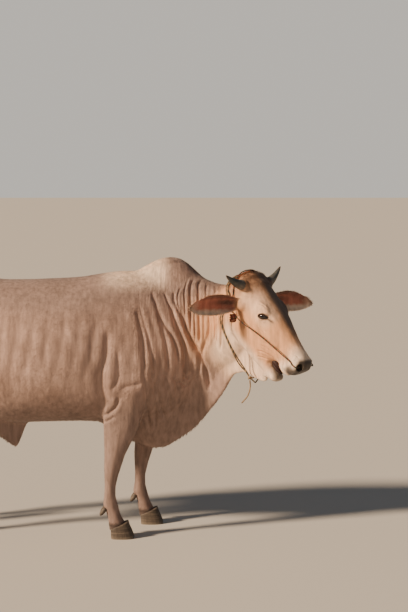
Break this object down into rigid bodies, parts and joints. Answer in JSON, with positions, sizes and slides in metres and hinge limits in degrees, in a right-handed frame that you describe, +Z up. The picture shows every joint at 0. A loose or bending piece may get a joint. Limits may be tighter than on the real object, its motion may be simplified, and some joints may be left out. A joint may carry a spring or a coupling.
{
  "type": "zebu-cross cattle",
  "caption": "Pale dun young bull of zebu-cross type with a humped back and deep dewlap, standing with its head turned to its right, in a cord halter.",
  "frame": {"origin": "on the floor, under the centre of the bull's box", "axes": "+X the way the bull's trunk faces, +Y to the bull's left, +Z up; the head is turned to the bull's right"},
  "size_m": [2.1057, 0.8157, 1.3397],
  "materials": {
    "cream_coat": "short flat pale dun hair",
    "dark_eye": "wet and dark",
    "slate_horn": "rough horn",
    "dark_hoof": "worn hoof horn",
    "dark_hair": "long coarse hair",
    "green_cord": "twisted cord",
    "crimson_cord": "knotted cord",
    "grey_cord": "twisted cord",
    "tan_cord": "twisted cord"
  },
  "bodies": {
    "root": {"torso": "cream_coat", "hump": "cream_coat", "neck": "cream_coat", "dewlap": "cream_coat", "head": "cream_coat", "lower_jaw": "cream_coat", "ear_right": "cream_coat", "ear_left": "cream_coat", "tail": "cream_coat", "sheath": "cream_coat", "scrotum": "cream_coat", "foreleg_upper_right": "cream_coat", "foreleg_upper_left": "cream_coat", "foreleg_lower_right": "cream_coat", "foreleg_lower_left": "cream_coat", "hindleg_upper_right": "cream_coat", "hindleg_upper_left": "cream_coat", "hindleg_lower_right": "cream_coat", "hindleg_lower_left": "cream_coat", "eye_right": "dark_eye", "eye_left": "dark_eye", "horn_right": "slate_horn", "horn_left": "slate_horn", "claw_fore_right_inner": "dark_hoof", "claw_fore_right_outer": "dark_hoof", "claw_fore_left_inner": "dark_hoof", "claw_fore_left_outer": "dark_hoof", "claw_hind_right_inner": "dark_hoof", "claw_hind_right_outer": "dark_hoof", "claw_hind_left_inner": "dark_hoof", "claw_hind_left_outer": "dark_hoof", "dewclaw_fore_right_inner": "dark_hoof", "dewclaw_fore_right_outer": "dark_hoof", "dewclaw_fore_left_inner": "dark_hoof", "dewclaw_fore_left_outer": "dark_hoof", "dewclaw_hind_right_inner": "dark_hoof", "dewclaw_hind_right_outer": "dark_hoof", "dewclaw_hind_left_inner": "dark_hoof", "dewclaw_hind_left_outer": "dark_hoof", "tail_switch": "dark_hair", "nose_cord": "green_cord", "halter_knot": "crimson_cord", "neck_cord": "grey_cord", "neck_cord_second": "tan_cord", "neck_knot": "tan_cord", "neck_cord_end": "tan_cord"}
  },
  "joints": []
}
